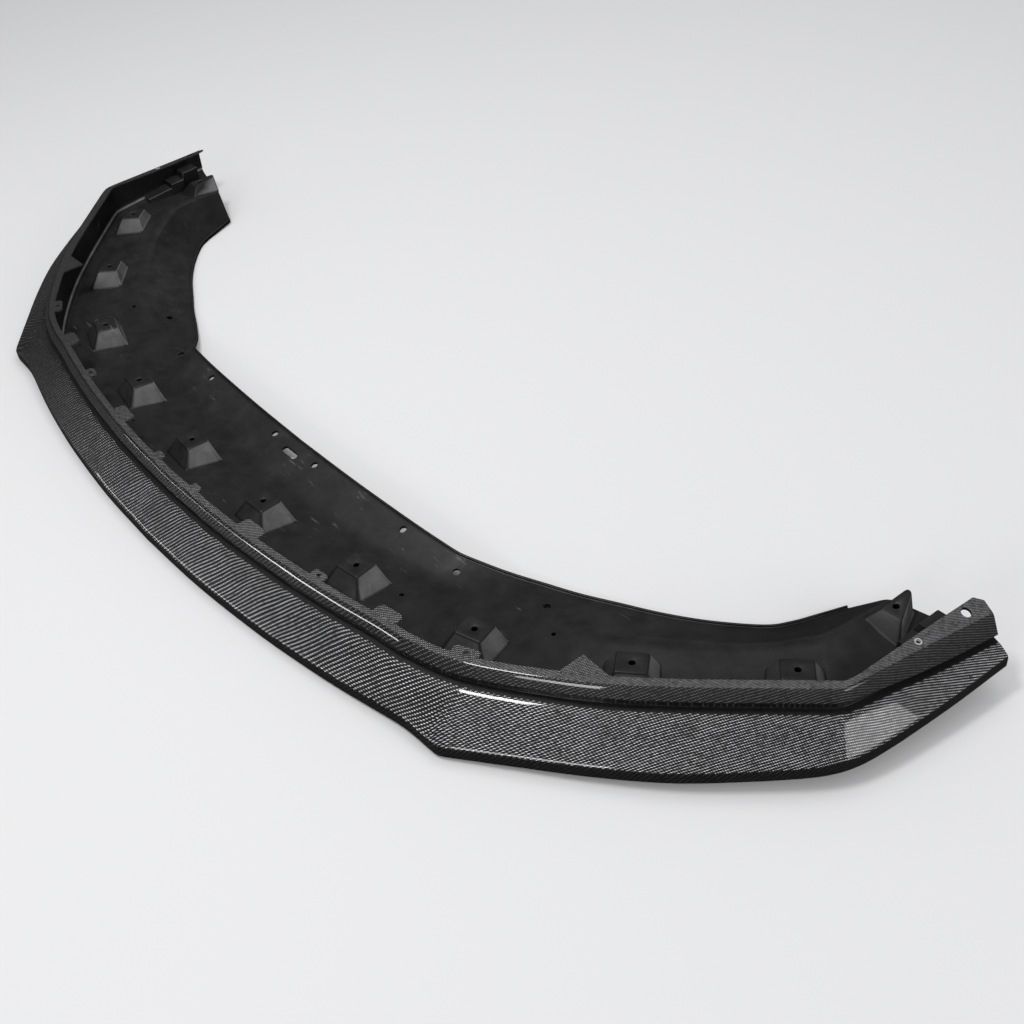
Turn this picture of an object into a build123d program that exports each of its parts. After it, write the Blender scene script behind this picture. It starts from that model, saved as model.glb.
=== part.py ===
"""Front splitter lip: a carbon lip bonded to a moulded undertray, in millimetres, +Z up, front towards -Y."""
import os
from math import atan2, degrees

from build123d import *

# Plan of the lip's outer edge, right half; the left half is its mirror image
front_sag = 61.0
tooth_x = 518.0
tooth_y = -2.0
tip = (577.0, 0.0)
side_edge = [(673.0, 69.0), (759.0, 134.0), (823.0, 197.0)]
corner = (901.0, 286.0)
corner_round = (909.0, 310.0)
wing_middle = (924.0, 430.0)
wing_end = (932.0, 530.0)
front_stations = [0.0, 130.0, 260.0, 350.0, 420.0]
side_count = 5

# Plan of the top corner of the riser band
riser_centre_y = -8.0
riser_bend = 0.000235
riser_tooth = (492.0, 45.0)
riser_tip = (545.0, 63.0)
riser_side = [(617.0, 107.0), (699.0, 167.0), (780.0, 243.0)]
riser_corner = (864.0, 325.0)
riser_corner_round = (868.0, 338.0)
riser_wing_middle = (884.0, 440.0)
riser_wing_end = (900.0, 539.0)

# Heights: the blade climbs rearwards, the flange follows its own line
rake = 0.0524
flange_z_centre = 82.0
flange_z_tip = 84.0
flange_z_corner = 94.0
flange_z_wing = 89.0
flange_z_end = 84.0

# Lip section: the riser band is taller on the wings
skin = 3.0
edge_height = 16.5
inside_drop = 4.5
ridge_drop = 27.0
ridge_step = 4.0
groove_out = 2.0
groove_undercut = 3.0
groove_rise = 2.0
riser_height = 14.0
riser_height_wing = 21.0
riser_height_end = 22.0
riser_slope = 0.57
ridge_below_riser = 8.0
back_wall = 4.0
flange_width = 11.0
flange_width_side = 14.0
flange_width_corner = 10.0
flange_width_wing = 19.0
flange_width_end = 27.0
flange_widening = 3.0

# Undertray section
bond_gap = 0.3
tray_wall = 3.0
rim_height = 4.0
foot_rise = 3.0
mid_share = 0.45
crease = [(0, 131, 10), (132, 136, 9.5), (262, 151, 10.5), (345, 165, 13), (410, 178, 14), (470, 193, 17),
          (520, 208, 25), (565, 227, 32), (620, 258, 38), (672, 297, 42), (725, 343, 45), (772, 400, 52),
          (778, 412, 54), (784, 463, 53), (786, 512, 48)]
rear = [(0, 197, 28), (130, 199, 28), (265, 205, 27), (350, 213, 24), (402, 244, 8), (452, 268, 4),
        (495, 287, 3), (540, 310, 3), (590, 336, 3), (640, 368, 3), (690, 410, 3), (710, 440, 4),
        (714, 450, 4), (725, 475, 5), (736, 500, 6)]
floor_z = [24, 24, 24, 24, 24, 24, 24, 25, 27, 31, 35, 38, 39, 42, 44]

# Bosses: place of each top and its height, right half
boss_tops = [(98, 75, 48), (295, 92, 49), (487, 129, 49), (657, 221, 54), (795, 339, 62)]
boss_top_size = (38.0, 33.0)
boss_base_size = (68.0, 56.0)
boss_height = 26.0
boss_front_shift = 5.0
boss_wall = 2.5
boss_hole_r = 4.0
boss_bevel = 2.0
end_boss = (806, 484, 69)
end_boss_top_size = (58.0, 27.0)
end_boss_base_size = (70.0, 52.0)

# Steps beside the wing flange: place of each top and its height
step_tops = [(857, 460, 65), (859, 491, 76)]
step_size = (28.0, 38.0)
step_draft = 1.5

# Holes
rear_holes = [(53, 182), (255, 190), (364, 194)]
arch_hole = (488, 238)
rear_hole_r = 5.0
slot_y = 174.0
slot_length = 24.0
slot_width = 8.0
drain_holes = [(353, 116), (542, 203)]
drain_r = 3.0
wing_hole = (881.0, 514.0)
wing_hole_r = 6.0
clip_hole = (873.0, 440.0)
clip_hole_r = 3.0

# Flange tabs: centre along the flange, length, reach inward, drop of the return leg
tabs = [(51, 18, 9, 0), (180, 42, 16, 11), (316, 24, 11, 0), (430, 38, 15, 11), (546, 34, 12, 0)]
drilled_reach = 10.0
tab_hole_r = 3.0
tab_root = 3.0
tab_bevel = 0.3
tab_hole_place = 0.35
gusset_x = 656.0
gusset_length = 66.0
gusset_reach = 30.0
gusset_lean = 22.0
tall = 200.0


def front_edge(x):
    """Y of the blade's front edge between the centre and the tooth."""
    return -front_sag + (front_sag + tooth_y) * (x / tooth_x) ** 2


def riser_front(x):
    """Y of the riser's top corner between the centre and the tooth."""
    return riser_centre_y + riser_bend * x * x


def mix(a, b, t):
    return a + (b - a) * t


def lip_stations():
    """Right half stations: outer edge point, riser top point, flange height, flange width, riser height."""
    rows = []
    for x in front_stations:
        z = mix(flange_z_centre, flange_z_tip, x / riser_tip[0])
        rows.append(((x, front_edge(x)), (x, riser_front(x)), z, flange_width, riser_height))
    rows.append(((tooth_x, tooth_y), riser_tooth, flange_z_tip, flange_width, riser_height))
    outer = Spline(tip, *side_edge, corner)
    inner = Spline(riser_tip, *riser_side, riser_corner)
    for k in range(side_count + 1):
        share = k / side_count
        o = outer @ share
        r = inner @ share
        z = mix(flange_z_tip, flange_z_corner, share)
        width = mix(flange_width, flange_width_side, min(1, flange_widening * share))
        rows.append(((o.X, o.Y), (r.X, r.Y), z, width, riser_height))
    rows.append((corner_round, riser_corner_round, flange_z_corner, flange_width_corner, riser_height))
    rows.append((wing_middle, riser_wing_middle, flange_z_wing, flange_width_wing, riser_height_wing))
    rows.append((wing_end, riser_wing_end, flange_z_end, flange_width_end, riser_height_end))
    return rows


STATIONS = lip_stations()


def outward(row):
    """Unit plan vector from the riser towards the outer edge."""
    (ox, oy), (rx, ry) = row[0], row[1]
    length = ((ox - rx) ** 2 + (oy - ry) ** 2) ** 0.5
    return (ox - rx) / length, (oy - ry) / length


def blade_z(y):
    """Height of the blade's underside at a plan depth."""
    return rake * (y + front_sag)


def lip_section(row):
    """Closed section of the lip: edge, blade, ridge, groove, riser, flange, then the inside back."""
    (ox, oy), (rx, ry), top, width, band = row
    dx, dy = outward(row)

    def at(reach, z):
        return (rx + dx * reach, ry + dy * reach, z)

    low = blade_z(oy)
    edge = ((ox - rx) ** 2 + (oy - ry) ** 2) ** 0.5
    lean = band * riser_slope
    ridge_out = lean + ridge_step
    ridge_z = top - max(ridge_drop, band + ridge_below_riser)
    return [
        at(edge, low),
        at(edge, low + edge_height),
        at(ridge_out, ridge_z),
        at(groove_out, ridge_z + groove_rise),
        at(groove_out, top - band - groove_undercut),
        at(lean, top - band),
        at(0, top),
        at(-width, top),
        at(-width, top - skin),
        at(-back_wall, top - skin),
        at(-back_wall, ridge_z - skin),
        at(ridge_out - skin, ridge_z - inside_drop),
        at(edge - skin, low + edge_height - inside_drop),
        at(edge - skin, low),
    ]


def tray_tops(i):
    """Upper line of the tray at a station: wall top, foot, middle of the floor, crease, rear, rim."""
    row = STATIONS[i]
    (rx, ry), top = row[1], row[2]
    dx, dy = outward(row)
    clear = back_wall + bond_gap
    if i == len(STATIONS) - 1:
        length = ((rear[i][0] - rx) ** 2 + (rear[i][1] - ry) ** 2) ** 0.5
        end_x, end_y = (rx - rear[i][0]) / length, (ry - rear[i][1]) / length
        clear /= dx * end_x + dy * end_y
        dx, dy = end_x, end_y
    reach = clear + tray_wall
    wall = (rx - dx * reach, ry - dy * reach)
    foot_z = floor_z[i] + foot_rise
    c, e = crease[i], rear[i]
    if i == len(STATIONS) - 1:
        c = (c[0], mix(e[1], ry, (c[0] - e[0]) / (rx - e[0])), c[2])
    middle = (mix(wall[0], c[0], mid_share), mix(wall[1], c[1], mid_share), floor_z[i])
    inset = 1 - tray_wall / ((e[0] - c[0]) ** 2 + (e[1] - c[1]) ** 2) ** 0.5
    rim = (mix(c[0], e[0], inset), mix(c[1], e[1], inset))
    outer_wall = (wall[0] + dx * tray_wall, wall[1] + dy * tray_wall)
    return {
        "wall_out": outer_wall,
        "wall": wall,
        "wall_z": top - skin - bond_gap,
        "foot_z": foot_z,
        "middle": middle,
        "crease": c,
        "rear": e,
        "rim": rim,
    }


def tray_section(i):
    t = tray_tops(i)
    e, r = t["rear"], t["rim"]
    return [
        (*t["wall_out"], t["wall_z"]),
        (*t["wall"], t["wall_z"]),
        (*t["wall"], t["foot_z"]),
        t["middle"],
        t["crease"],
        (*r, e[2]),
        (*r, e[2] + rim_height),
        (e[0], e[1], e[2] + rim_height),
    ] + under_line(t)


def under_line(t):
    """Lower line of the tray, from the rear edge to the wall."""
    m, c, e = t["middle"], t["crease"], t["rear"]
    return [
        (e[0], e[1], e[2] - tray_wall),
        (c[0], c[1], c[2] - tray_wall),
        (m[0], m[1], m[2] - tray_wall),
        (*t["wall_out"], t["foot_z"] - tray_wall),
    ]


def under_section(i):
    """Space below the tray, used to trim what stands on it."""
    line = under_line(tray_tops(i))
    first, last = line[0], line[-1]
    return line + [(last[0], last[1], -tall), (first[0], first[1], -tall)]


def mirrored(section_of, count):
    """Sections from the left end to the right end of a symmetric body."""
    right = [section_of(i) for i in range(count)]
    left = [[(-x, y, z) for x, y, z in pts] for pts in right[:0:-1]]
    return left + right


def skin_through(sections):
    return Solid.make_loft([Wire.make_polygon(pts, close=True) for pts in sections], ruled=True)


def drill(points, radius):
    """Upright cutters at plan points on both sides."""
    cutters = []
    for x, y in points:
        for side in (1, -1):
            cutters.append(Pos(side * x, y, 0) * Cylinder(radius, 2 * tall))
    return cutters


def row_at(x):
    """Interpolated riser top point, height and inner direction at a distance along X."""
    for a, b in zip(STATIONS[:-1], STATIONS[1:]):
        if a[1][0] <= x <= b[1][0]:
            t = (x - a[1][0]) / (b[1][0] - a[1][0])
            break
    y = mix(a[1][1], b[1][1], t)
    angle = degrees(atan2(b[1][1] - a[1][1], b[1][0] - a[1][0]))
    return y, mix(a[2], b[2], t), angle, mix(a[3], b[3], t)


def tab(x, length, reach, leg):
    """Flange tab growing inward, with a return leg where it has one."""
    y, z, angle, width = row_at(x)
    overlap = tab_root
    depth = reach + overlap
    plate = Pos(0, depth / 2, -skin / 2) * Box(length, depth, skin)
    bevel = reach * tab_bevel
    plate = chamfer(plate.edges().filter_by(Axis.Z).sort_by(Axis.Y)[-2:], bevel)
    if leg:
        plate += Pos(0, depth - skin / 2, -leg / 2) * Box(length - 2 * bevel, skin, leg)
    elif reach > drilled_reach:
        plate -= Pos(0, overlap + reach * tab_hole_place, 0) * Cylinder(tab_hole_r, 4 * skin)
    return Pos(x, y, z) * Rot(0, 0, angle) * Pos(0, width - overlap, 0) * plate


def gusset():
    """Triangular plate on the flange beside the wing."""
    y, z, angle, width = row_at(gusset_x)
    half = gusset_length / 2
    outline = Polyline((-half, -skin), (-gusset_lean, gusset_reach), (half, -skin), close=True)
    plate = Pos(0, 0, -skin) * extrude(make_face(outline), skin)
    return Pos(gusset_x, y, z) * Rot(0, 0, angle) * Pos(0, width, 0) * plate


def carbon_lip():
    count = len(STATIONS)
    body = skin_through(mirrored(lambda i: lip_section(STATIONS[i]), count))
    added = [tab(*row) for row in tabs] + [gusset()]
    added += [mirror(piece, Plane.YZ) for piece in added]
    body = body.fuse(*[piece.solid() for piece in added])
    cutters = drill([wing_hole], wing_hole_r) + drill([clip_hole], clip_hole_r)
    return body.cut(*[c.solid() for c in cutters])


def pyramid(top_size, base_size, height, shift, slide=0.0):
    """Drafted block with its top centred on the origin and its base pushed forward and back along the lip."""
    width, depth = base_size
    middle = depth / 2 - shift
    across = width / 2 + slide
    half_x, half_y = top_size[0] / 2, top_size[1] / 2
    top_range = (across - half_x, middle - half_y, across + half_x, middle + half_y)
    block = Wedge(width, height, depth, *top_range, align=[Align.MIN] * 3)
    return Pos(-across, middle, -height) * Rot(90, 0, 0) * block


def inset(size):
    return size[0] - 2 * boss_wall, size[1] - 2 * boss_wall


def beside_lip(x, y, z):
    """Place at a point, turned square to the lip beside it."""
    near = min(STATIONS, key=lambda row: (row[1][0] - x) ** 2 + (row[1][1] - y) ** 2)
    turn_x = min(max(near[1][0], front_stations[1]), riser_wing_middle[0])
    return Pos(x, y, z) * Rot(0, 0, row_at(turn_x)[2])


def boss(spot, top_size, base_size, shift, slide):
    """Hollow drafted boss and its cutters: the hollow and the screw hole."""
    place = beside_lip(*spot)
    block = pyramid(top_size, base_size, boss_height, shift, slide)
    block = chamfer(block.edges().sort_by(Axis.Z)[4:], boss_bevel)
    hollow = pyramid(inset(top_size), inset(base_size), boss_height, shift, slide)
    hole = Cylinder(boss_hole_r, 4 * boss_wall)
    return place * block, [place * Pos(0, 0, -boss_wall) * hollow, place * hole]


def all_bosses():
    """Bosses of the right half; the end boss is longer, with an upright rear side at the tray's end."""
    pieces = [boss(top, boss_top_size, boss_base_size, boss_front_shift, 0.0) for top in boss_tops]
    end_slide = (end_boss_base_size[0] - end_boss_top_size[0]) / 2
    pieces.append(boss(end_boss, end_boss_top_size, end_boss_base_size, 0.0, end_slide))
    return pieces


def step(x, y, z):
    """Hollow step against the wing's wall and its cutter."""
    place = beside_lip(x, y, z)
    base = (step_size[0] + 2 * step_draft, step_size[1] + 2 * step_draft)
    block = pyramid(step_size, base, z, 0)
    hollow = pyramid(inset(step_size), inset(base), z, 0)
    return place * block, [place * Pos(0, 0, -boss_wall) * hollow]


def undertray():
    count = len(STATIONS)
    body = skin_through(mirrored(tray_section, count))
    below = skin_through(mirrored(under_section, count))
    blocks = []
    cutters = []
    for block, cuts in all_bosses() + [step(*top) for top in step_tops]:
        blocks += [block, mirror(block, Plane.YZ)]
        cutters += cuts + [mirror(c, Plane.YZ) for c in cuts]
    stubs = [block.solid().cut(below).solids().sort_by(SortBy.VOLUME)[-1] for block in blocks]
    body = body.fuse(*stubs)
    cutters += drill(rear_holes + [arch_hole], rear_hole_r) + drill(drain_holes, drain_r)
    slot = Pos(0, slot_y, 0) * extrude(SlotOverall(slot_length, slot_width), tall, both=True)
    return body.cut(*[c.solid() for c in cutters], slot.solid())


lip = carbon_lip()
reach_box = lip.bounding_box()
centred = Pos(0, -(reach_box.min.Y + reach_box.max.Y) / 2, 0)
os.makedirs("parts", exist_ok=True)
for name, body in (("carbon_lip", lip), ("undertray", undertray())):
    export_step(centred * Part(body.wrapped), f"parts/{name}.step")
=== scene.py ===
"""Front splitter lip: a coated twill carbon lip on a moulded black undertray, in a pale studio."""

from math import atan2, copysign, cos, exp, pi, sin

import bmesh
import bpy
from mathutils import Matrix, Vector
from mathutils.bvhtree import BVHTree


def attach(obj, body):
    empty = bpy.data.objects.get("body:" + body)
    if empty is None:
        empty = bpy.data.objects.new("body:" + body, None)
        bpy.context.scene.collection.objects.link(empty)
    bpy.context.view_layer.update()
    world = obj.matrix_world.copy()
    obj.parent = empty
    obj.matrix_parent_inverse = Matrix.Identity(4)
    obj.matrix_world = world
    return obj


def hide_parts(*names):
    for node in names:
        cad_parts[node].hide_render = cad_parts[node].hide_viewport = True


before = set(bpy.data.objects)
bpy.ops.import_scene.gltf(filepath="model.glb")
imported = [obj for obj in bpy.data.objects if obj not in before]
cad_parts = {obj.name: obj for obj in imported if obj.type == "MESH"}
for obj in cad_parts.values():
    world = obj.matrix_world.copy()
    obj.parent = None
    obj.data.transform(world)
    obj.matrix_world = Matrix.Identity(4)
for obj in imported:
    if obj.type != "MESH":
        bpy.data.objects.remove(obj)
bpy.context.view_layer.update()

# Units: shapes are drawn in millimetres, with y counted from the front tips; the frame's origin is at MID_Y
MM = 0.001
MID_Y = 242.655

# Plan of the lip's right half: outer edge and top corner of the riser
FRONT_SAG, TOOTH_X, TOOTH_Y = 61.0, 518.0, -2.0
FRONT_X = (0.0, 130.0, 260.0, 350.0, 420.0)
SIDE_OUTER = [(577, 0), (673, 69), (759, 134), (823, 197), (901, 286)]
WING_OUTER = [(909, 310), (924, 430), (932, 530)]
RISER_Y, RISER_BEND, RISER_TOOTH = -8.0, 0.000235, (492, 45)
SIDE_RISER = [(545, 63), (617, 107), (699, 167), (780, 243), (864, 325)]
WING_RISER = [(868, 338), (884, 440), (900, 539)]
SIDE_COUNT = 5
END_CHAMFER = 9.0

# Control rows at which the plan has a corner, and the length over which each corner is rounded
TOOTH = len(FRONT_X)
TIP = TOOTH + 1
CORNER = TIP + SIDE_COUNT
OUTER_EASE = ((TOOTH, 14), (TIP, 5), (CORNER, 30))
RISER_EASE = ((TIP, 28), (CORNER, 9))

# Heights and section of the lip; the cuts round the section's corners, in order
TOP_CENTRE, TOP_TIP, TOP_CORNER = 82.0, 84.0, 94.0
WING_TOPS, WING_WIDTHS, WING_BANDS = (94.0, 89.0, 84.0), (10.0, 19.0, 27.0), (14.0, 21.0, 22.0)
FLANGE, FLANGE_SIDE, FLANGE_WIDENING, BAND = 11.0, 14.0, 3, 14.0
RAKE, SKIN, EDGE, BACK = 0.0524, 3.0, 16.5, 4.0
LEAN, RIDGE_STEP, RIDGE_DROP, RIDGE_BELOW = 0.57, 8.0, 28.0, 9.0
GROOVE_OUT, GROOVE_RISE, GROOVE_CUT, INSIDE = 2.0, 2.0, 3.0, 4.5
WING_TILT = 0.36
LIP_CUTS = (2.5, 4.5, 5.0, 0.8, 0.8, 1.6, 3.5, 0.9, 0.9, 0.6, 0.6, 1.5, 1.5, 1.0)

# Tray: walls, then crease, rear edge and floor height at the lip's control rows, and the section's cuts
BOND, WALL, RIM, FOOT, MIDDLE = 0.3, 3.0, 4.0, 3.0, 0.45
CREASE = [(0, 131, 10), (132, 136, 9.5), (262, 151, 10.5), (345, 165, 13), (410, 178, 14), (470, 193, 17),
          (520, 208, 25), (565, 227, 32), (620, 258, 38), (672, 297, 42), (725, 343, 45), (772, 400, 52),
          (778, 412, 54), (784, 463, 53), (786, 512, 48)]
REAR = [(0, 197, 28), (130, 199, 28), (265, 205, 27), (350, 213, 24), (402, 244, 8), (452, 268, 4),
        (495, 287, 3), (540, 310, 3), (590, 336, 3), (640, 368, 3), (690, 410, 3), (710, 440, 4),
        (714, 450, 4), (725, 475, 5), (736, 500, 6)]
FLOOR = [24, 24, 24, 24, 24, 24, 24, 25, 27, 31, 35, 38, 39, 42, 44]
TRAY_CORNERS, TRAY_EASE = (3, 11), 8
TRAY_CUTS = (0.8, 0.8, 12.0, 30.0, 12.0, 2.0, 0.9, 0.9, 0.9, 12.0, 30.0, 8.0)

# Bosses: place and height of each top, sizes of the plain ones, corners of the tapered end one
BOSSES = [(98, 75, 48), (295, 92, 49), (487, 129, 49), (657, 221, 54), (795, 339, 62)]
BOSS_TOP, BOSS_BASE, BOSS_HEIGHT, BOSS_SHIFT, BOSS_HOLE = (38.0, 33.0), (68.0, 56.0), 26.0, 5.0, 4.0
END_BOSS, END_SLOPE = (809, 490, 66.3), 0.19
END_TOP = [(810, 517, 71.2), (803, 518, 71.5), (798, 474, 63.5), (828, 476, 63.5)]
END_BASE = [(817, 517, 44), (790, 517, 44), (782, 456, 46), (842, 459, 42)]

# Boss edges: corner cut of the foot, share of the way down at which the wall starts, and its corner cut
FOOT_CUT, WALL_START, WALL_CUT = 7.0, 0.085, 4.4
# Top edge as inset, drop and corner cut; rim of the hole as extra radius and drop
TOP_EDGE = ((0.1, 0.9, 4.0), (0.8, 0.2, 3.6), (1.7, 0, 3.2))
HOLE_RIM = ((0.9, 0), (0.3, 0.3), (0, 0.9), (0, 4.0))
SKIRT, FOOT_RUN, FOOT_SINK, RAY = 3.0, 2.2, 0.6, 200.0

# Stepped rail inside each wing, as y, x and z of its inner top edge
RAIL = [(398, 850, 50), (440, 847, 56), (446, 844, 57), (447, 844, 65), (473, 844, 66), (476, 848, 76),
        (508, 850, 77)]
RAIL_LOW, RAIL_IN, RAIL_DRAFT, RAIL_CUTS = 34.0, 1.0, 1.5, (0.5, 1.6, 0.5, 0.5)

# Holes of the tray and the wings
REAR_HOLES, ARCH_HOLE, HOLE_R = [(53, 182), (255, 190), (364, 194)], (488, 238), 5.0
SLOT_Y, SLOT_LENGTH, SLOT_WIDTH = 174.0, 34.0, 10.0
DRAINS, DRAIN_R = [(353, 116), (542, 203)], 3.0
WING_HOLE, WING_HOLE_R, CLIP_HOLE, CLIP_HOLE_R = (881, 514), 6.0, (873, 440), 3.0
# Pale rim of the clip hole, a painted highlight of its edge, as extra radius and rise
EYELET = ((1.5, -0.3), (1.2, 0.3), (0.1, 0.3), (-0.2, -2.5))

# Flange tabs as x, length, reach and leg, with shares of the reach; then the gusset
TABS = [(51, 18, 9, 0), (180, 42, 16, 11), (316, 24, 11, 0), (430, 38, 15, 11), (546, 34, 12, 0)]
TAB_CORNER, TAB_HOLE_AT = 0.3, 0.35
TAB_HOLE, TAB_ROOT, LEG_IN, DRILLED_REACH = 3.0, 3.0, 0.2, 10
GUSSET_X, GUSSET_LENGTH, GUSSET_REACH, GUSSET_LEAN = 666.0, 62.0, 28.0, 8.0

# Where a lip row holds the riser's x and y, the top and the flange width
AT_X, AT_Y, AT_TOP, AT_WIDTH = 2, 3, 4, 5

# Sampling
PER_SPAN = 10
ARC = 4
ROD_POINTS, EYELET_POINTS = 32, 24
CUT_SHARE, EASE_REACH = 0.45, 2.5
SCRAP, TINY = 0.05, 1e-6

# Cloth: its turn and bend along the lip, its pull on the diagonal, and how it gets finer towards the wings
CLOTH_TURN, CLOTH_BEND, CLOTH_PULL = 0.1, 0.00016, 0.7
FINE_FROM, FINE_GAIN, FINE_Y = 560.0, 0.0008, 300.0
FLANGE_CLOTH = 1.5

# Ends of the edge band, blade, groove and riser, each as a corner of the section and a point of its arc
SURFACE_ENDS = ((1, 2), (2, 4), (5, 3), (6, 3))

# Order of the lip's materials; the band and riser ones are copies of the twill darkened as painted shade,
# and the rim one is a painted highlight
GLOSS, SATIN, RIM_HIGHLIGHT, SHADED_BAND, SHADED_RISER = range(5)


def mix(a, b, t):
    return a + (b - a) * t


def place(p):
    """Frame position of a point given in the drawing's millimetres."""
    return Vector((p[0] * MM, (p[1] - MID_Y) * MM, p[2] * MM))


def through(points, breaks=()):
    """Smooth line through control rows, with corners kept at the breaks."""
    rows = [Vector(p) for p in points]
    last = len(rows) - 1
    out = []
    for i in range(last):
        a, b = rows[i], rows[i + 1]
        before = rows[i - 1] if i > 0 and i not in breaks else None
        after = rows[i + 2] if i + 1 < last and i + 1 not in breaks else None
        slope_a = (b - before) / 2 if before else b - a
        slope_b = (after - a) / 2 if after else b - a
        for k in range(PER_SPAN):
            t = k / PER_SPAN
            h1 = 2 * t ** 3 - 3 * t ** 2 + 1
            h2 = t ** 3 - 2 * t ** 2 + t
            h3 = 3 * t ** 2 - 2 * t ** 3
            h4 = t ** 3 - t ** 2
            out.append(a * h1 + slope_a * h2 + b * h3 + slope_b * h4)
    out.append(rows[-1])
    return out


def running(points):
    """Distance along a line from its first point to each of its points."""
    run = [0.0]
    for a, b in zip(points[:-1], points[1:]):
        run.append(run[-1] + (b - a).length)
    return run


def even(rows, count):
    """Rows at equal distances along a line, by its first two values."""
    run = running([r.to_2d() for r in rows])
    out = []
    for k in range(count):
        goal = run[-1] * k / (count - 1)
        i = max(j for j in range(len(run) - 1) if run[j] <= goal)
        out.append(rows[i].lerp(rows[i + 1], (goal - run[i]) / (run[i + 1] - run[i])))
    return out


def ease(rows, corner, width):
    """Rounds a line's corner over a length along the line, measured by its first two values."""
    run = running([r.to_2d() for r in rows])
    last = len(rows) - 1
    old = [r.copy() for r in rows]
    weights = [run[min(i + 1, last)] - run[max(i - 1, 0)] for i in range(last + 1)]
    for i in range(1, last):
        if abs(run[i] - run[corner]) < EASE_REACH * width:
            shares = [w * exp(-((r - run[i]) / width) ** 2 / 2) for w, r in zip(weights, run)]
            rows[i] = sum((o * k for o, k in zip(old, shares)), old[0] * 0) / sum(shares)


def lip_controls():
    """Control rows of the right half: outer edge x y, riser x y, top, flange width, riser height."""
    rows = []
    for x in FRONT_X:
        front = -FRONT_SAG + (FRONT_SAG + TOOTH_Y) * (x / TOOTH_X) ** 2
        top = mix(TOP_CENTRE, TOP_TIP, x / SIDE_RISER[0][0])
        rows.append((x, front, x, RISER_Y + RISER_BEND * x * x, top, FLANGE, BAND))
    rows.append((TOOTH_X, TOOTH_Y, *RISER_TOOTH, TOP_TIP, FLANGE, BAND))
    outer = even(through([(*p, 0) for p in SIDE_OUTER]), SIDE_COUNT + 1)
    riser = even(through([(*p, 0) for p in SIDE_RISER]), SIDE_COUNT + 1)
    for k in range(SIDE_COUNT + 1):
        share = k / SIDE_COUNT
        width = mix(FLANGE, FLANGE_SIDE, min(1, FLANGE_WIDENING * share))
        rows.append((*outer[k][:2], *riser[k][:2], mix(TOP_TIP, TOP_CORNER, share), width, BAND))
    for o, r, top, width, band in zip(WING_OUTER, WING_RISER, WING_TOPS, WING_WIDTHS, WING_BANDS):
        rows.append((*o, *r, top, width, band))
    return rows


def lip_rows():
    """Dense rows: the outer edge keeps a corner at its tip, the riser runs smoothly past it."""
    controls = lip_controls()
    outer = through([r[:2] for r in controls], (TOOTH, TIP, CORNER))
    inner = through([r[2:] for r in controls], (CORNER,))
    for corner, width in OUTER_EASE:
        ease(outer, corner * PER_SPAN, width)
    for corner, width in RISER_EASE:
        ease(inner, corner * PER_SPAN, width)
    rows = [Vector((*o, *i)) for o, i in zip(outer, inner)]
    rows[-1][AT_WIDTH] -= END_CHAMFER
    for row in rows:
        row[AT_TOP] = min(row[AT_TOP], TOP_CORNER)
    return rows


def tray_rows():
    """Dense rows of the tray: crease x y z, rear edge x y z, floor height."""
    rows = through([(*c, *e, f) for c, e, f in zip(CREASE, REAR, FLOOR)], TRAY_CORNERS)
    for corner in TRAY_CORNERS:
        ease(rows, corner * PER_SPAN, TRAY_EASE)
    return rows


LIP = lip_rows()
TRAY = tray_rows()


def lip_where(index, value):
    """Row at which one of the lip's values is reached, and the two dense rows beside it."""
    a, b = next((a, b) for a, b in zip(LIP[:-1], LIP[1:]) if a[index] <= value <= b[index])
    return a.lerp(b, (value - a[index]) / (b[index] - a[index])), a, b


def lip_at(x):
    """Row of the lip at a distance along x, and the direction of its riser there."""
    row, a, b = lip_where(AT_X, x)
    return row, atan2(b[AT_Y] - a[AT_Y], b[AT_X] - a[AT_X])


def outward(row):
    """Direction from the riser to the outer edge, and the distance between them."""
    outer_x, outer_y, riser_x, riser_y = row[:4]
    way = Vector((outer_x - riser_x, outer_y - riser_y))
    return way / way.length, way.length


def rounded(points, cuts):
    """Profile with each corner replaced by a short arc; cuts are distances along the two sides."""
    out = []
    n = len(points)
    for i, p in enumerate(points):
        a, b = points[i - 1], points[(i + 1) % n]
        back = min(cuts[i], (a - p).length * CUT_SHARE)
        ahead = min(cuts[i], (b - p).length * CUT_SHARE)
        start = p + (a - p).normalized() * back
        end = p + (b - p).normalized() * ahead
        for k in range(ARC + 1):
            t = k / ARC
            out.append(start * (1 - t) ** 2 + p * 2 * t * (1 - t) + end * t * t)
    return out


def wing_slope(y):
    """Lean of the wing flange, which rises inward more and more towards its end."""
    start, end = WING_RISER[0][1], WING_RISER[-1][1]
    return WING_TILT * min(max((y - start) / (end - start), 0), 1)


def lip_section(row):
    """Section of the lip, from the foot of the edge band over the flange and back along the inside."""
    (dx, dy), edge = outward(row)
    _, outer_y, riser_x, riser_y, top, width, band = row
    low = RAKE * (outer_y + FRONT_SAG)
    lean = band * LEAN
    rise = width * wing_slope(riser_y)
    ridge_out = lean + RIDGE_STEP
    ridge = top - max(RIDGE_DROP, band + RIDGE_BELOW)
    flat = [(edge, low), (edge, low + EDGE), (ridge_out, ridge), (GROOVE_OUT, ridge + GROOVE_RISE),
            (GROOVE_OUT, top - band - GROOVE_CUT), (lean, top - band), (0, top), (-width, top + rise),
            (-width, top + rise - SKIN), (-BACK, top - SKIN), (-BACK, ridge - SKIN),
            (ridge_out - SKIN, ridge - INSIDE), (edge - SKIN, low + EDGE - INSIDE), (edge - SKIN, low)]
    return rounded([Vector((riser_x + dx * r, riser_y + dy * r, z)) for r, z in flat], LIP_CUTS)


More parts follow.
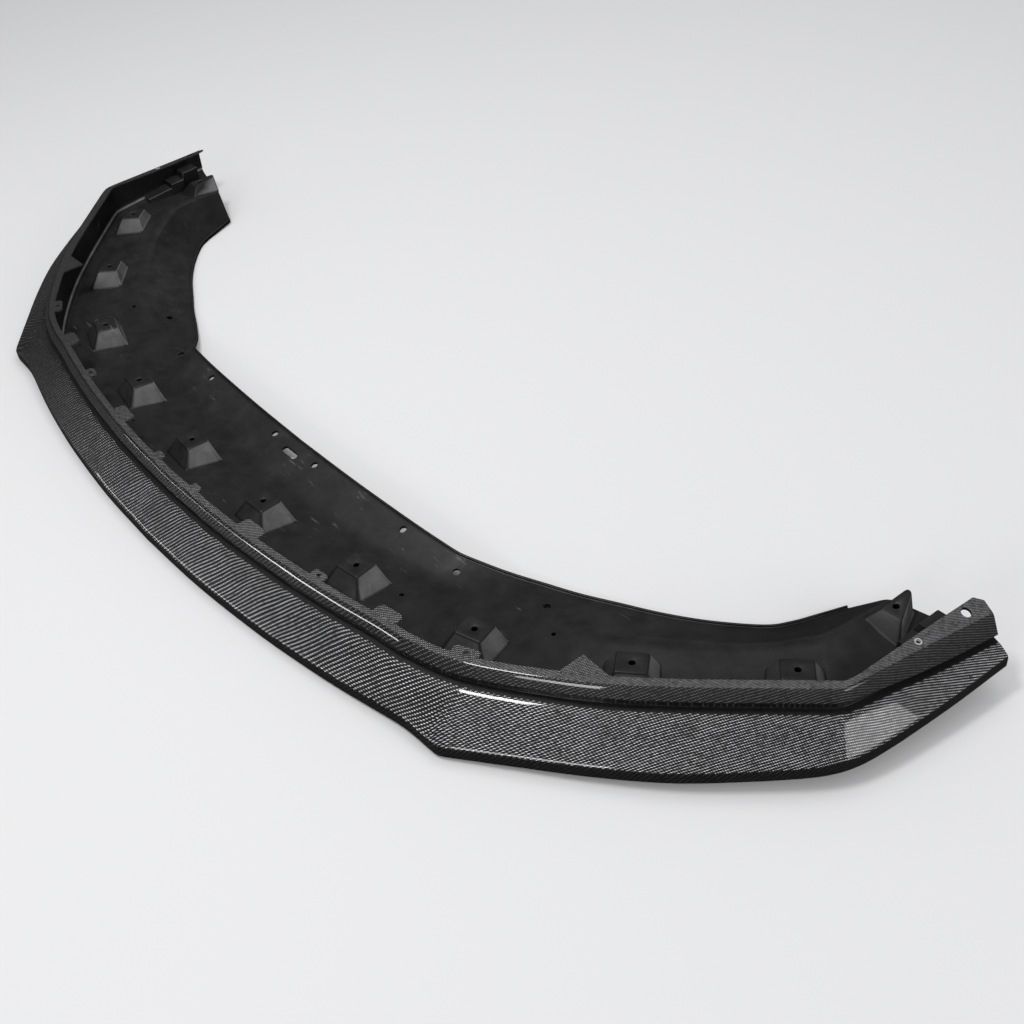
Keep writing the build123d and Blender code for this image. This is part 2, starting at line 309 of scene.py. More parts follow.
def tray_section(row, tray, at_end):
    """Section of the tray, from the top of its wall behind the riser to the rear rim and back below."""
    (dx, dy), _ = outward(row)
    rx, ry, top = row[AT_X:AT_WIDTH]
    c, e, floor = Vector(tray[0:3]), Vector(tray[3:6]), tray[6]
    clear = BACK + BOND
    if at_end:
        along = (Vector((rx, ry)) - e.to_2d()).normalized()
        clear /= dx * along.x + dy * along.y
        dx, dy = along
        c.y = mix(e.y, ry, (c.x - e.x) / (rx - e.x))
    wall_out = Vector((rx - dx * clear, ry - dy * clear))
    wall = Vector((rx - dx * (clear + WALL), ry - dy * (clear + WALL)))
    wall_z, foot_z = top - SKIN - BOND, floor + FOOT
    middle = Vector((*wall.lerp(c.to_2d(), MIDDLE), floor))
    rim = e + (c - e).normalized() * WALL
    rim.z = e.z
    lift, drop = Vector((0, 0, RIM)), Vector((0, 0, -WALL))
    points = [Vector((*wall_out, wall_z)), Vector((*wall, wall_z)), Vector((*wall, foot_z)), middle, c, rim,
              rim + lift, e + lift, e + drop, c + drop, middle + drop, Vector((*wall_out, foot_z - WALL))]
    return rounded(points, TRAY_CUTS)


def flipped(points):
    """The same points on the other side of the car."""
    return [Vector((-p.x, p.y, p.z)) for p in points]


def both_sides(sections):
    """Sections from the left end to the right end."""
    return [flipped(points) for points in sections[:0:-1]] + sections


def bridge(bm, rings):
    """Faces between each ring of vertices and the next."""
    faces = []
    for a, b in zip(rings[:-1], rings[1:]):
        for k in range(len(a)):
            n = (k + 1) % len(a)
            faces.append(bm.faces.new((a[k], a[n], b[n], b[k])))
    return faces


def skin_over(bm, sections):
    """Closed surface through equal rings, with capped ends; gives its rings of vertices."""
    rings = [[bm.verts.new(place(p)) for p in points] for points in sections]
    bridge(bm, rings)
    bm.faces.new(rings[0])
    bm.faces.new(rings[-1][::-1])
    return rings


def prism(bm, lower, upper):
    """Closed block between two outlines."""
    low_ring = [bm.verts.new(p) for p in lower]
    high_ring = [bm.verts.new(p) for p in upper]
    bm.faces.new(high_ring)
    bm.faces.new(low_ring[::-1])
    bridge(bm, [low_ring, high_ring])


def plate(bm, outline, thick, spot, turn, side, bevel=0.6):
    """Upright prism with bevelled edges, on one side of the car, from an outline seen from above."""
    solid = bmesh.new()
    lower = [(x * MM, y * MM, -thick * MM) for x, y in outline]
    upper = [(x * MM, y * MM, 0) for x, y in outline]
    prism(solid, lower, upper)
    bmesh.ops.bevel(solid, geom=solid.edges[:], offset=bevel * MM, segments=2, affect="EDGES")
    bmesh.ops.remove_doubles(solid, verts=solid.verts[:], dist=SCRAP * MM)
    solid.transform(Matrix.Translation(place(spot)) @ Matrix.Rotation(turn, 4, "Z"))
    if side < 0:
        solid.transform(Matrix.Scale(-1, 4, (1, 0, 0)))
        bmesh.ops.reverse_faces(solid, faces=solid.faces[:])
    mesh = bpy.data.meshes.new("part")
    solid.to_mesh(mesh)
    solid.free()
    bm.from_mesh(mesh)
    bpy.data.meshes.remove(mesh)


def finish_mesh(bm, name):
    """Object in the scene from a mesh under work."""
    bmesh.ops.recalc_face_normals(bm, faces=bm.faces[:])
    mesh = bpy.data.meshes.new(name)
    bm.to_mesh(mesh)
    bm.free()
    obj = bpy.data.objects.new(name, mesh)
    bpy.context.scene.collection.objects.link(obj)
    return obj


def on_both(points, radius):
    """Round holes on both sides of the car."""
    return [(side * x, y, radius, 0.0) for x, y in points for side in (1, -1)]


def cutter(holes, low=-60.0, high=160.0):
    """One object of upright rods; a hole is x, y, radius and half the length of its slot's straight part."""
    bm = bmesh.new()
    for x, y, radius, half in holes:
        ring = []
        for k in range(ROD_POINTS):
            a = 2 * pi * (k + 0.5) / ROD_POINTS
            shift = half if cos(a) > 0 else -half
            ring.append((x + radius * cos(a) + shift, y + radius * sin(a)))
        prism(bm, [place((*p, low)) for p in ring], [place((*p, high)) for p in ring])
    return finish_mesh(bm, "cutter")


def drill(obj, holes):
    """Cuts the holes and keeps the result as the object's mesh."""
    tool = cutter(holes)
    modifier = obj.modifiers.new("holes", "BOOLEAN")
    modifier.operation = "DIFFERENCE"
    modifier.solver = "EXACT"
    modifier.object = tool
    view = bpy.context.evaluated_depsgraph_get()
    mesh = bpy.data.meshes.new_from_object(obj.evaluated_get(view))
    obj.modifiers.clear()
    bm = bmesh.new()
    bm.from_mesh(mesh)
    bmesh.ops.triangulate(bm, faces=[f for f in bm.faces if len(f.verts) > 4])
    bmesh.ops.dissolve_degenerate(bm, dist=SCRAP * MM, edges=bm.edges[:])
    bm.to_mesh(mesh)
    bm.free()
    old = obj.data
    obj.data = mesh
    bpy.data.meshes.remove(old)
    bpy.data.objects.remove(tool)


def takes_hole(reach, leg):
    """Whether a tab is drilled: the longer ones with no leg are."""
    return not leg and reach > DRILLED_REACH


def add_tabs(plain, drilled):
    """Flange tabs and the triangular gusset on both sides; those that take a hole are kept apart."""
    for x, length, reach, leg in TABS:
        row, turn = lip_at(x)
        riser_x, riser_y, top, width = row[AT_X:AT_WIDTH + 1]
        half, cut = length / 2, reach * TAB_CORNER
        near, far = width - TAB_ROOT, width + reach
        outline = [(-half, near), (half, near), (half, far - cut), (half - cut, far), (cut - half, far),
                   (-half, far - cut)]
        strip = [(cut - half, far - SKIN), (half - cut, far - SKIN), (half - cut, far - LEG_IN),
                 (cut - half, far - LEG_IN)]
        for side in (1, -1):
            bm = drilled if takes_hole(reach, leg) else plain
            plate(bm, outline, SKIN, (riser_x, riser_y, top), turn, side)
            if leg:
                plate(plain, strip, leg, (riser_x, riser_y, top - LEG_IN), turn, side)
    row, turn = lip_at(GUSSET_X)
    half, near = GUSSET_LENGTH / 2, row[AT_WIDTH] - SKIN
    outline = [(-half, near), (half, near), (-GUSSET_LEAN, near + SKIN + GUSSET_REACH)]
    for side in (1, -1):
        plate(plain, outline, SKIN, row[AT_X:AT_WIDTH], turn, side)


def tab_holes():
    """Holes of the tabs that are drilled."""
    holes = []
    for x, _, reach, leg in TABS:
        if takes_hole(reach, leg):
            row, turn = lip_at(x)
            out = row[AT_WIDTH] + reach * TAB_HOLE_AT
            spot = (row[AT_X] - sin(turn) * out, row[AT_Y] + cos(turn) * out)
            holes += on_both([spot], TAB_HOLE)
    return holes


def laid(x, y):
    """Cloth coordinates of a plan point: the cloth turns slowly along the lip, is pulled long on its
    diagonal and gets finer towards the wings."""
    past = max(abs(x) - FINE_FROM, 0)
    y += (y - FINE_Y) * 2 * FINE_GAIN * past
    x += copysign(FINE_GAIN * past ** 2, x)
    turn = CLOTH_TURN + CLOTH_BEND * x
    u, v = x + y * turn, y - CLOTH_TURN * x - CLOTH_BEND * x * x / 2
    along, across = (u + v) / 2 * CLOTH_PULL, (u - v) / 2
    return along + across, along - across


def fine(x, y):
    """Cloth coordinates on the flange and its tabs, where the weave is finer."""
    return tuple(FLANGE_CLOTH * c for c in laid(x, y))


def surfaces():
    """Runs of faces round the lip's section: edge band, blade, groove and riser."""
    ends = [0] + [corner * (ARC + 1) + point for corner, point in SURFACE_ENDS]
    return [range(a, b) for a, b in zip(ends[:-1], ends[1:])]


def lay_cloth(bm, rings, cloth):
    """Cloth coordinates and material of each face of the lip's skin, by its place in the section."""
    run = [d / MM for d in running([ring[0].co for ring in rings])]
    middle = run[len(run) // 2]
    spread = [[d / MM for d in running([v.co for v in ring])] for ring in rings]
    ring_of = {v: (i, k) for i, ring in enumerate(rings) for k, v in enumerate(ring)}
    band, blade, groove, riser = surfaces()
    for face in bm.faces:
        spots = [ring_of[v] for v in face.verts]
        first = min(k for _, k in spots)
        wraps = max(k for _, k in spots) - first > 1
        for loop in face.loops:
            i, k = ring_of[loop.vert]
            p = loop.vert.co / MM
            if len(spots) > 4:
                uv = (p.y, p.z)
            elif not wraps and first in band:
                uv = (run[i] - middle, spread[i][k])
            elif not wraps and (first in blade or first in riser):
                start = blade[0] if first in blade else riser[0]
                edge = rings[i][start].co / MM
                inward = (p - edge).to_2d()
                reach = spread[i][k] - spread[i][start]
                spot = edge.to_2d() + (inward.normalized() * reach if inward.length > TINY else inward)
                uv = laid(spot.x, spot.y)
            else:
                uv = fine(p.x, p.y)
            loop[cloth].uv = uv
        # Edge band, groove and underside take a copy of the twill darkened as painted shade, and the riser
        # takes another
        if wraps or first in band or first in groove:
            face.material_index = SHADED_BAND
        elif first in riser:
            face.material_index = SHADED_RISER
        else:
            face.material_index = GLOSS if first in blade else SATIN


def build_tabs():
    """Mesh of the tabs and gussets, drilled and with their cloth laid."""
    plain, drilled = bmesh.new(), bmesh.new()
    add_tabs(plain, drilled)
    plates, tabs = finish_mesh(plain, "plates"), finish_mesh(drilled, "tabs")
    drill(tabs, tab_holes())
    bm = bmesh.new()
    bm.from_mesh(plates.data)
    bm.from_mesh(tabs.data)
    cloth = bm.loops.layers.uv.new("cloth")
    for face in bm.faces:
        face.material_index = SATIN
        for loop in face.loops:
            p = loop.vert.co / MM
            loop[cloth].uv = fine(p.x, p.y + p.z)
    mesh = tabs.data
    bm.to_mesh(mesh)
    bm.free()
    bpy.data.objects.remove(plates)
    bpy.data.objects.remove(tabs)
    return mesh


def add_eyelets(bm):
    """Pale rim round the clip hole in each wing flange, a painted highlight of the hole's edge."""
    x, y = CLIP_HOLE
    share = (y - WING_RISER[0][1]) / (WING_RISER[1][1] - WING_RISER[0][1])
    riser, top = mix(WING_RISER[0][0], WING_RISER[1][0], share), mix(WING_TOPS[0], WING_TOPS[1], share)
    turns = [2 * pi * k / EYELET_POINTS for k in range(EYELET_POINTS)]
    for side in (1, -1):
        rings = []
        for extra, rise in EYELET:
            ring = []
            for a in turns:
                px, py = x + (CLIP_HOLE_R + extra) * cos(a), y + (CLIP_HOLE_R + extra) * sin(a)
                pz = top + rise + wing_slope(y) * (riser - px)
                ring.append(bm.verts.new(place((side * px, py, pz))))
            rings.append(ring)
        # Pale rim: a painted highlight of the hole's edge
        for face in bridge(bm, rings):
            face.material_index = RIM_HIGHLIGHT


def build_lip():
    """The carbon lip: skin with its holes, tabs and gussets, and the pale rims of the clip holes, painted
    highlights.
    """
    bm = bmesh.new()
    cloth = bm.loops.layers.uv.new("cloth")
    rings = skin_over(bm, both_sides([lip_section(r) for r in LIP]))
    lay_cloth(bm, rings, cloth)
    obj = finish_mesh(bm, "lip_skin")
    drill(obj, on_both([WING_HOLE], WING_HOLE_R) + on_both([CLIP_HOLE], CLIP_HOLE_R))
    tabs = build_tabs()
    bm = bmesh.new()
    bm.from_mesh(obj.data)
    bm.from_mesh(tabs)
    add_eyelets(bm)
    bm.to_mesh(obj.data)
    bm.free()
    bpy.data.meshes.remove(tabs)
    return obj


def quad(size, shift, drop, turn):
    """Corners of a turned rectangle, counter-clockwise from the rear outer one."""
    c, n = cos(turn), sin(turn)
    half_x, half_y = size[0] / 2, size[1] / 2
    corners = [(sx * half_x, sy * half_y - shift) for sx, sy in ((1, 1), (-1, 1), (-1, -1), (1, -1))]
    return [Vector((x * c - y * n, x * n + y * c, -drop)) for x, y in corners]


def drawn_in(corners, by, drop):
    """The same outline, drawn in on all sides and lowered."""
    out = []
    for i, p in enumerate(corners):
        a, b = (corners[i - 1] - p).normalized(), (corners[(i + 1) % 4] - p).normalized()
        out.append(p + (a + b) * by / a.cross(b).length - Vector((0, 0, drop)))
    return out


def boss_rings(top, base, slope):
    """Rings of a drafted boss from its base to the foot of its hole, round the middle of its top."""
    upper = [t.lerp(b, WALL_START) for t, b in zip(top, base)]
    steps = [(base, FOOT_CUT), (upper, WALL_CUT)]
    steps += [(drawn_in(top, by, drop), cut) for by, drop, cut in TOP_EDGE]
    rings = [rounded(corners, (cut,) * 4) for corners, cut in steps]
    count = len(rings[0])
    start = atan2(rings[0][0].y, rings[0][0].x)
    turns = [start + 2 * pi * k / count for k in range(count)]
    for extra, drop in HOLE_RIM:
        ring = [((BOSS_HOLE + extra) * cos(a), (BOSS_HOLE + extra) * sin(a)) for a in turns]
        rings.append([Vector((x, y, slope * y - drop)) for x, y in ring])
    return rings


def add_boss(bm, floor, spot, shape, side):
    """Boss standing on the tray, its foot run out on the floor."""
    rings = []
    for ring in boss_rings(*shape):
        rings.append([place((side * (p.x + spot[0]), p.y + spot[1], p.z + spot[2])) for p in ring])
    feet, skirts = [], []
    for low, high in zip(rings[0], rings[1]):
        way = (low - high).normalized()
        hit = floor.ray_cast(high, way, RAY * MM)[0] or low
        out = Vector((way.x, way.y, 0)).normalized()
        skirts.append(hit - way * SKIRT * MM)
        feet.append(hit + out * FOOT_RUN * MM - Vector((0, 0, FOOT_SINK * MM)))
    bridge(bm, [[bm.verts.new(p) for p in ring] for ring in [feet, skirts] + rings[1:]])


def boss_shapes():
    """Place of each boss on the right, with the corners of its top and base and the slope of its top."""
    shapes = []
    for spot in BOSSES:
        near = min(LIP, key=lambda r: (r[AT_X] - spot[0]) ** 2 + (r[AT_Y] - spot[1]) ** 2)
        turn = lip_at(max(near[AT_X], FRONT_X[1]))[1]
        top, base = quad(BOSS_TOP, 0, 0, turn), quad(BOSS_BASE, BOSS_SHIFT, BOSS_HEIGHT, turn)
        shapes.append((spot, (top, base, 0)))
    middle = Vector(END_BOSS)
    top, base = [Vector(p) - middle for p in END_TOP], [Vector(p) - middle for p in END_BASE]
    shapes.append((END_BOSS, (top, base, END_SLOPE)))
    return shapes


def add_rail(bm):
    """Stepped ledge along the inside of each wing wall."""
    sections = []
    for y, x, z in RAIL:
        wall = lip_where(AT_Y, y)[0][AT_X] - (BACK + BOND + RAIL_IN)
        corners = [(wall, z), (x, z), (x - RAIL_DRAFT, RAIL_LOW), (wall, RAIL_LOW)]
        sections.append(rounded([Vector((px, y, pz)) for px, pz in corners], RAIL_CUTS))
    skin_over(bm, sections)
    skin_over(bm, [flipped(ring) for ring in sections])


def build_tray():
    """The moulded tray: skin with its holes and slot, bosses and rails."""
    bm = bmesh.new()
    last = len(TRAY) - 1
    skin_over(bm, both_sides([tray_section(LIP[i], TRAY[i], i == last) for i in range(last + 1)]))
    obj = finish_mesh(bm, "tray_skin")
    holes = on_both(REAR_HOLES + [ARCH_HOLE], HOLE_R) + on_both(DRAINS, DRAIN_R)
    holes.append((0, SLOT_Y, SLOT_WIDTH / 2, (SLOT_LENGTH - SLOT_WIDTH) / 2))
    drill(obj, holes)
    bm = bmesh.new()
    bm.from_mesh(obj.data)
    floor = BVHTree.FromBMesh(bm)
    for spot, shape in boss_shapes():
        for side in (1, -1):
            add_boss(bm, floor, spot, shape, side)
    add_rail(bm)
    bmesh.ops.recalc_face_normals(bm, faces=bm.faces[:])
    bm.to_mesh(obj.data)
    bm.free()
    return obj


class Nodes:
    """Short hand for building a material's nodes."""

    def __init__(self, name):
        self.material = bpy.data.materials.new(name)
        self.material.use_nodes = True
        self.tree = self.material.node_tree
        self.shader = self.tree.nodes["Principled BSDF"]

    def add(self, kind, **values):
        node = self.tree.nodes.new(kind)
        for key, value in values.items():
            setattr(node, key, value)
        return node

    def link(self, source, target):
        if isinstance(source, (int, float)):
            target.default_value = source
        else:
            self.tree.links.new(source, target)

    def spot(self):
        """Place on the object, in metres."""
        return self.add("ShaderNodeTexCoord").outputs["Object"]

    def split(self, vector):
        """The three values of a vector."""
        node = self.add("ShaderNodeSeparateXYZ")
        self.link(vector, node.inputs[0])
        return node.outputs

    def math(self, operation, *inputs):
        node = self.add("ShaderNodeMath", operation=operation)
        for value, socket in zip(inputs, node.inputs):
            self.link(value, socket)
        return node.outputs[0]

    def swing(self, noise, width):
        """Noise made to swing about zero, over a width."""
        return self.math("MULTIPLY", self.math("SUBTRACT", noise, 0.5), width)

    def past(self, value, start, gain):
        """How far a value lies past a start, times a gain."""
        return self.math("MULTIPLY", self.math("MAXIMUM", self.math("SUBTRACT", value, start), 0.0), gain)

    def line(self, value, gain, shift, least):
        """A value times a gain plus a shift, and never below the least."""
        return self.math("MAXIMUM", self.math("MULTIPLY_ADD", value, gain, shift), least)

    def blend(self, factor, a, b):
        node = self.add("ShaderNodeMix", data_type="FLOAT")
        for value, socket in zip((factor, a, b), (node.inputs[0], node.inputs[2], node.inputs[3])):
            self.link(value, socket)
        return node.outputs[0]

    def ramp(self, factor, stops):
        """Colour ramp through stops given as position and colour."""
        node = self.add("ShaderNodeValToRGB")
        elements = node.color_ramp.elements
        for position, _ in stops[1:-1]:
            elements.new(position)
        for element, (position, colour) in zip(elements, stops):
            element.position, element.color = position, (*colour, 1)
        self.link(factor, node.inputs[0])
        return node.outputs[0]

    def tones(self, factor, stops):
        """Ramp through grey tones given as position and value."""
        return self.ramp(factor, [(position, (value,) * 3) for position, value in stops])

    def noise(self, vector, scale, detail=2.0, rough=0.5):
        node = self.add("ShaderNodeTexNoise")
        self.link(vector, node.inputs["Vector"])
        node.inputs["Scale"].default_value = scale
        node.inputs["Detail"].default_value = detail
        node.inputs["Roughness"].default_value = rough
        return node.outputs["Fac"]

    def bump(self, height, strength, distance):
        node = self.add("ShaderNodeBump")
        node.inputs["Strength"].default_value = strength
        node.inputs["Distance"].default_value = distance
        self.link(height, node.inputs["Height"])
        return node.outputs["Normal"]

    def set(self, **values):
        for key, value in values.items():
            self.link(value, self.shader.inputs[key.replace("_", " ")])


# Twill: tow, drift and sway in millimetres, tows in a repeat, noise scales per metre
TOW, REPEAT = 1.7, 4.0
DRIFT, DRIFT_SCALE = 14.0, 9.0
SWAY, SWAY_SCALE, SWAY_DETAIL = 10.0, 14.0, 1.0
CROWN_ACROSS, CROWN_ALONG = 3.0, 1.6
# Painted shade darkening the twill towards the −X end: gain per metre, value at x = 0 and least value
LEFT_SHADE_GAIN, LEFT_SHADE_MIDDLE, LEFT_SHADE_LEAST = 1.3, 0.85, 0.22
PATCH_SCALE, PATCH_GAIN, PATCH_SHIFT = 30.0, 0.8, 0.6
FLECK_SCALE, FLECK_GAIN, FLECK_SHIFT, FLECK_LEAST = 240.0, 3.0, -0.5, 0.1
FLOAT_DARK, FLOAT_BRIGHT, COOL = 0.05, 0.9, 1.03
CLOTH_ROUGH, CLOTH_BUMP, CLOTH_DEPTH, COAT_IOR = 0.5, 0.3, 0.0006, 1.5


def carbon(name, bright, dark, lift, metal, coat, coat_rough):
    """Two by two twill under a coat: bright and dark crowned floats, on a cloth that wanders a little,
    darkened towards −X by painted shade.
    """
    n = Nodes(name)
    spot = n.spot()
    cloth = n.split(n.add("ShaderNodeUVMap", uv_map="cloth").outputs["UV"])
    drift = n.swing(n.noise(spot, DRIFT_SCALE), DRIFT)
    sway = n.swing(n.noise(spot, SWAY_SCALE, SWAY_DETAIL), SWAY)
    u = n.math("DIVIDE", n.math("ADD", cloth[0], drift), TOW)
    v = n.math("DIVIDE", n.math("ADD", cloth[1], sway), TOW)
    order = n.math("FLOORED_MODULO", n.math("SUBTRACT", n.math("FLOOR", u), n.math("FLOOR", v)), REPEAT)
    weft = n.math("LESS_THAN", order, REPEAT / 2 - 0.5)
    fu, fv = n.math("FRACT", u), n.math("FRACT", v)
    across = n.math("SINE", n.math("MULTIPLY", n.blend(weft, fu, fv), pi))
    weft_run = n.math("ADD", order, fu)
    warp_run = n.math("ADD", n.math("SUBTRACT", REPEAT - 1, order), fv)
    along = n.math("SINE", n.math("MULTIPLY", n.blend(weft, warp_run, weft_run), pi / 2))
    crown = n.math("MULTIPLY", n.math("POWER", n.math("MAXIMUM", across, 0.0), CROWN_ACROSS),
                   n.math("POWER", n.math("MAXIMUM", along, 0.0), CROWN_ALONG))
    shade = n.math("MULTIPLY", crown, n.blend(weft, dark / bright, 1.0))
    # Painted shade: the floats are darkened towards −X, in place of their weaker reflection there
    painted_left_shade = n.math("MINIMUM", n.line(n.split(spot)[0], LEFT_SHADE_GAIN, LEFT_SHADE_MIDDLE, LEFT_SHADE_LEAST), 1.0)
    patch = n.math("MULTIPLY_ADD", n.noise(spot, PATCH_SCALE), PATCH_GAIN, PATCH_SHIFT)
    fleck = n.line(n.noise(spot, FLECK_SCALE), FLECK_GAIN, FLECK_SHIFT, FLECK_LEAST)
    for factor in (patch, fleck, painted_left_shade):
        shade = n.math("MULTIPLY", shade, factor)
    stops = ((FLOAT_DARK, (lift, lift, lift)), (FLOAT_BRIGHT, (bright, bright, bright * COOL)))
    n.set(Base_Color=n.ramp(shade, stops), Metallic=metal, Roughness=CLOTH_ROUGH)
    n.set(Normal=n.bump(crown, CLOTH_BUMP, CLOTH_DEPTH))
    n.set(Coat_Weight=coat, Coat_Roughness=coat_rough, Coat_IOR=COAT_IOR)
    return n.material


# Painted highlight of the clip hole's rim: speckle scale per metre, roughness and grey tones
RIM_SPECKLE_SCALE, RIM_ROUGH = 900.0, 0.6
RIM_TONES = ((0.3, 0.35), (0.7, 0.7))


def painted_rim_highlight():
    """Pale speckled grey for the clip hole's rim, a painted highlight of the coated edge."""
    n = Nodes("painted_rim_highlight")
    n.set(Base_Color=n.tones(n.noise(n.spot(), RIM_SPECKLE_SCALE), RIM_TONES), Roughness=RIM_ROUGH)
    return n.material


# Plastic: noise as scale per metre, detail and roughness; tones by a face's slope and turn, with painted
# shade on walls and painted light on drafted faces towards +X
CLOUD, MOTTLE, SMEAR, GRAIN = (9.0, 4.0, 0.6), (32.0, 5.0, 0.65), (1.0, 3.0, 0.65), (1600.0, 1.0)
SMEAR_SCALE, SMEAR_TURN = (30.0, 160.0, 60.0), (0.0, 0.0, 0.6)
SMEAR_FROM, SMEAR_GAIN, CLOUD_FROM, CLOUD_GAIN, WORN = 0.62, 3.0, 0.5, 6.0, 0.25
# Own tone of flat faces with painted shade darkening the walls, then painted light on drafted faces and its
# gain towards +X
SLOPE_SHADE_TONES = ((0.0, 0.005), (0.86, 0.012), (0.93, 0.024), (1.0, 0.018))
STEEP_LIGHT_TONES = ((0.0, 0.0), (0.3, 0.0), (0.45, 0.13), (0.6, 0.13), (0.72, 0.0))
PLUS_X_LIGHT_GAIN, PLUS_X_LIGHT_SHIFT, PLUS_X_LIGHT_LEAST = 2.2, 0.35, 0.3
MOTTLE_GAIN, MOTTLE_SHIFT, MOTTLE_LEAST = 1.8, 0.1, 0.25
PLASTIC_STOPS = ((0.0, (0.0, 0.0, 0.0)), (0.4, (0.4, 0.4, 0.41)))
SHEEN_LOW, SHEEN_HIGH, GRAIN_BUMP, GRAIN_DEPTH = 0.36, 0.56, 0.08, 0.0002


def plastic():
    """Satin moulded plastic: fine grain, uneven sheen, faint smears, painted shade on walls and painted
    light making drafted faces paler towards +X.
    """
    n = Nodes("black_plastic")
    spot = n.spot()
    cloud = n.noise(spot, *CLOUD)
    smear_map = n.add("ShaderNodeMapping")
    smear_map.inputs["Scale"].default_value = SMEAR_SCALE
    smear_map.inputs["Rotation"].default_value = SMEAR_TURN
    n.link(spot, smear_map.inputs["Vector"])
    smear = n.noise(smear_map.outputs[0], *SMEAR)
    worn = n.math("MULTIPLY", n.past(smear, SMEAR_FROM, SMEAR_GAIN), n.past(cloud, CLOUD_FROM, CLOUD_GAIN))
    facing = n.split(n.add("ShaderNodeNewGeometry").outputs["Normal"])
    # Painted light and shade by the face's normal: walls darker, drafted faces paler, most where they face
    # +X
    slope_shade, steep_light = n.tones(facing[2], SLOPE_SHADE_TONES), n.tones(facing[2], STEEP_LIGHT_TONES)
    turned = n.math("MINIMUM", n.line(facing[0], PLUS_X_LIGHT_GAIN, PLUS_X_LIGHT_SHIFT, PLUS_X_LIGHT_LEAST), 1.0)
    mottle = n.line(n.noise(spot, *MOTTLE), MOTTLE_GAIN, MOTTLE_SHIFT, MOTTLE_LEAST)
    tone = n.math("MULTIPLY", n.math("ADD", slope_shade, n.math("MULTIPLY", steep_light, turned)), mottle)
    tone = n.math("ADD", tone, n.math("MULTIPLY", worn, WORN))
    n.set(Base_Color=n.ramp(tone, PLASTIC_STOPS), Roughness=n.blend(cloud, SHEEN_LOW, SHEEN_HIGH))
    n.set(Normal=n.bump(n.noise(spot, *GRAIN), GRAIN_BUMP, GRAIN_DEPTH))
    return n.material


def smooth(obj, angle=0.6):
    """Smooth shading, with edges sharper than the angle kept."""
    mesh = obj.data
    mesh.polygons.foreach_set("use_smooth", [True] * len(mesh.polygons))
    mesh.set_sharp_from_angle(angle=angle)


def dress(obj, node, slot, *materials):
    """Materials, smooth shading and place in the frame of a finished piece."""
    indices = [p.material_index for p in obj.data.polygons]
    obj.data.materials.clear()
    for material in materials:
        obj.data.materials.append(material)
    obj.data.polygons.foreach_set("material_index", indices)
    smooth(obj)
    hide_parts(node)
    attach(obj, "root")


# The band and riser copies are the same twill made darker, as painted shade
gloss = carbon("carbon_gloss", bright=1.0, dark=0.015, lift=0.003, metal=0.15, coat=1.0, coat_rough=0.04)
satin = carbon("carbon_satin", bright=0.55, dark=0.06, lift=0.03, metal=0.1, coat=0.3, coat_rough=0.25)
edge = carbon("carbon_band_painted_shade", bright=0.05, dark=0.006, lift=0.003, metal=0.1, coat=0.5, coat_rough=0.08)
riser = carbon("carbon_riser_painted_shade", bright=0.2, dark=0.01, lift=0.003, metal=0.1, coat=1.0, coat_rough=0.04)
dress(build_lip(), "carbon_lip", "carbon_twill", gloss, satin, painted_rim_highlight(), edge, riser)
dress(build_tray(), "undertray", "black_plastic", plastic())

# Studio: floor and sky are dim in gloss, as dark surroundings would be
FLOOR_SIZE, FLOOR_ROUGH = 16, 0.9
FLOOR_GREY, FLOOR_IN_GLOSS = (0.79, 0.79, 0.795, 1), (0.05, 0.05, 0.05, 1)
SKY, SKY_STRENGTH, SKY_IN_GLOSS = (0.98, 0.99, 1.0, 1), 0.45, 0.05


def dim_in_gloss(tree, shown, dim, output):
    """Shows one shader, and another to glossy rays."""
    either = tree.nodes.new("ShaderNodeMixShader")
    path = tree.nodes.new("ShaderNodeLightPath")
    tree.links.new(path.outputs["Is Glossy Ray"], either.inputs[0])
    tree.links.new(shown.outputs[0], either.inputs[1])
    tree.links.new(dim.outputs[0], either.inputs[2])
    tree.links.new(either.outputs[0], tree.nodes[output].inputs[0])


def floor_paint():
    """Pale matt floor."""
    n = Nodes("studio_floor")
    n.set(Roughness=FLOOR_ROUGH, Specular_IOR_Level=0.0)
    n.shader.inputs["Base Color"].default_value = FLOOR_GREY
    dim = n.add("ShaderNodeBsdfDiffuse")
    dim.inputs["Color"].default_value = FLOOR_IN_GLOSS
    dim_in_gloss(n.tree, n.shader, dim, "Material Output")
    return n.material


def studio_world():
    """Even pale sky."""
    world = bpy.data.worlds.new("studio")
    world.use_nodes = True
    nodes = world.node_tree.nodes
    sky, dim = nodes["Background"], nodes.new("ShaderNodeBackground")
    for shader, strength in ((sky, SKY_STRENGTH), (dim, SKY_IN_GLOSS)):
        shader.inputs["Color"].default_value = SKY
        shader.inputs["Strength"].default_value = strength
    dim_in_gloss(world.node_tree, sky, dim, "World Output")
    return world


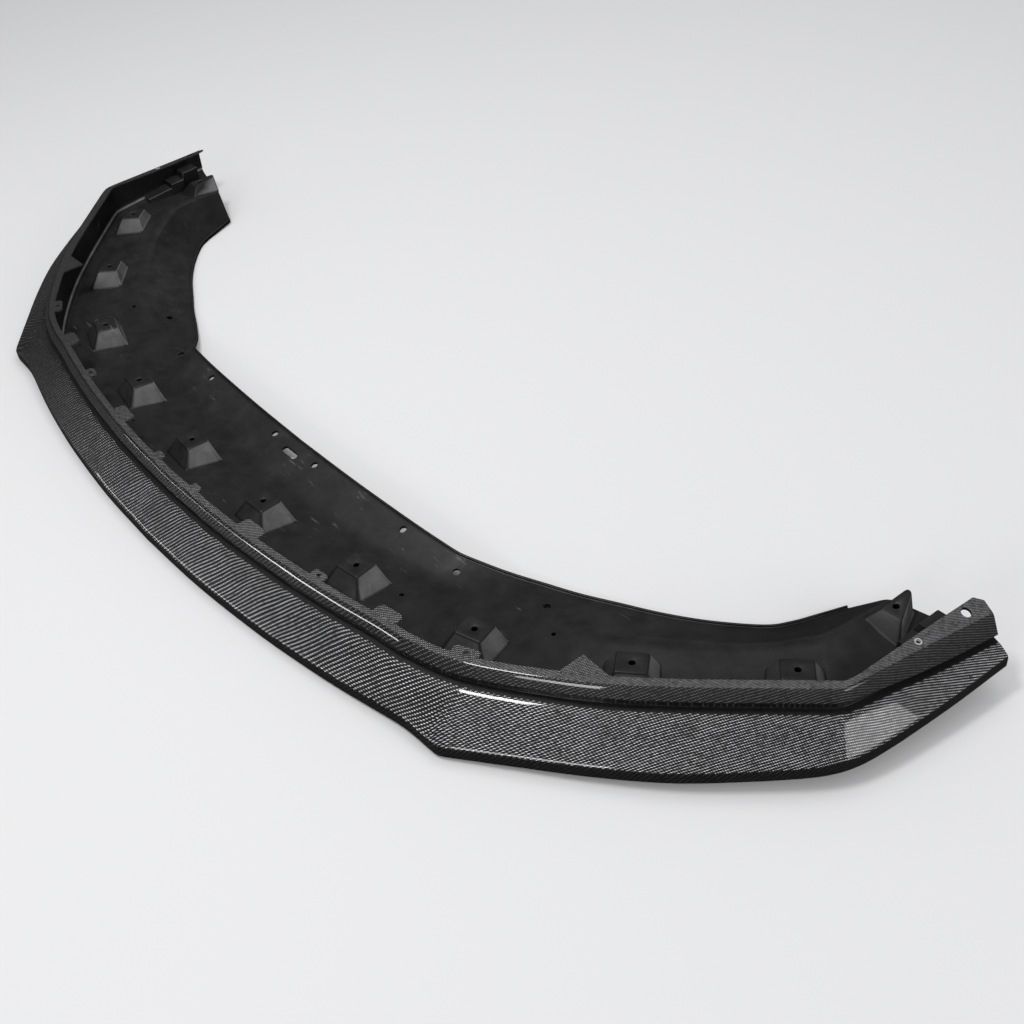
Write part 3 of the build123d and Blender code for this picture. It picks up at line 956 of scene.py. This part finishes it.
def softbox(name, spot, target, size, power, mirrored=False, spread=pi):
    """Rectangular lamp, in metres and watts; gloss shows it only if it is to be mirrored."""
    light = bpy.data.lights.new(name, "AREA")
    light.shape = "RECTANGLE"
    light.size, light.size_y = size
    light.energy = power
    light.spread = spread
    lamp = bpy.data.objects.new(name, light)
    lamp.location = spot
    lamp.rotation_euler = (Vector(target) - Vector(spot)).to_track_quat("-Z", "Y").to_euler()
    lamp.visible_glossy = mirrored
    bpy.context.scene.collection.objects.link(lamp)


bpy.ops.mesh.primitive_plane_add(size=FLOOR_SIZE)
floor = bpy.context.object
floor.name = "floor"
floor.data.materials.append(floor_paint())

softbox("front", spot=(1.75, -2.9, 1.35), target=(0.4, -0.2, 0), size=(0.9, 0.9), power=5.5,
        mirrored=True, spread=pi / 2)
softbox("back", spot=(-0.4, 1.5, 3.2), target=(-0.3, 1.1, 0), size=(3.2, 2.4), power=27)
softbox("top", spot=(-0.2, -0.75, 2.9), target=(-0.55, -0.15, 0), size=(0.5, 0.9), power=32, mirrored=True)
softbox("right", spot=(3.2, 0.55, 1.45), target=(0.4, 0, 0.05), size=(1.5, 1.4), power=19, mirrored=True)
softbox("strip", spot=(-2.0, -2.8, 0.3), target=(0.2, -0.2, 0.05), size=(2.5, 0.1), power=3.0,
        mirrored=True, spread=pi / 2)
bpy.context.scene.world = studio_world()

# Camera at the photograph's view: place in metres, its right and up, and the focal length in pixels
CAMERA = Vector((1.399, -0.7127, 1.1227))
RIGHT = Vector((0.638034, 0.766534, -0.073067))
UP = Vector((-0.455740, 0.452411, 0.766567))
FOCAL_PIXELS, PHOTO_PIXELS, SENSOR = 1300, 1024, 36
lens = bpy.data.cameras.new("camera")
lens.sensor_width = SENSOR
lens.lens = FOCAL_PIXELS / PHOTO_PIXELS * SENSOR
camera = bpy.data.objects.new("camera", lens)
basis = Matrix((RIGHT, UP, RIGHT.cross(UP))).transposed().to_4x4()
camera.matrix_world = Matrix.Translation(CAMERA) @ basis
bpy.context.scene.collection.objects.link(camera)
bpy.context.scene.camera = camera
bpy.context.scene.view_settings.view_transform = "Standard"
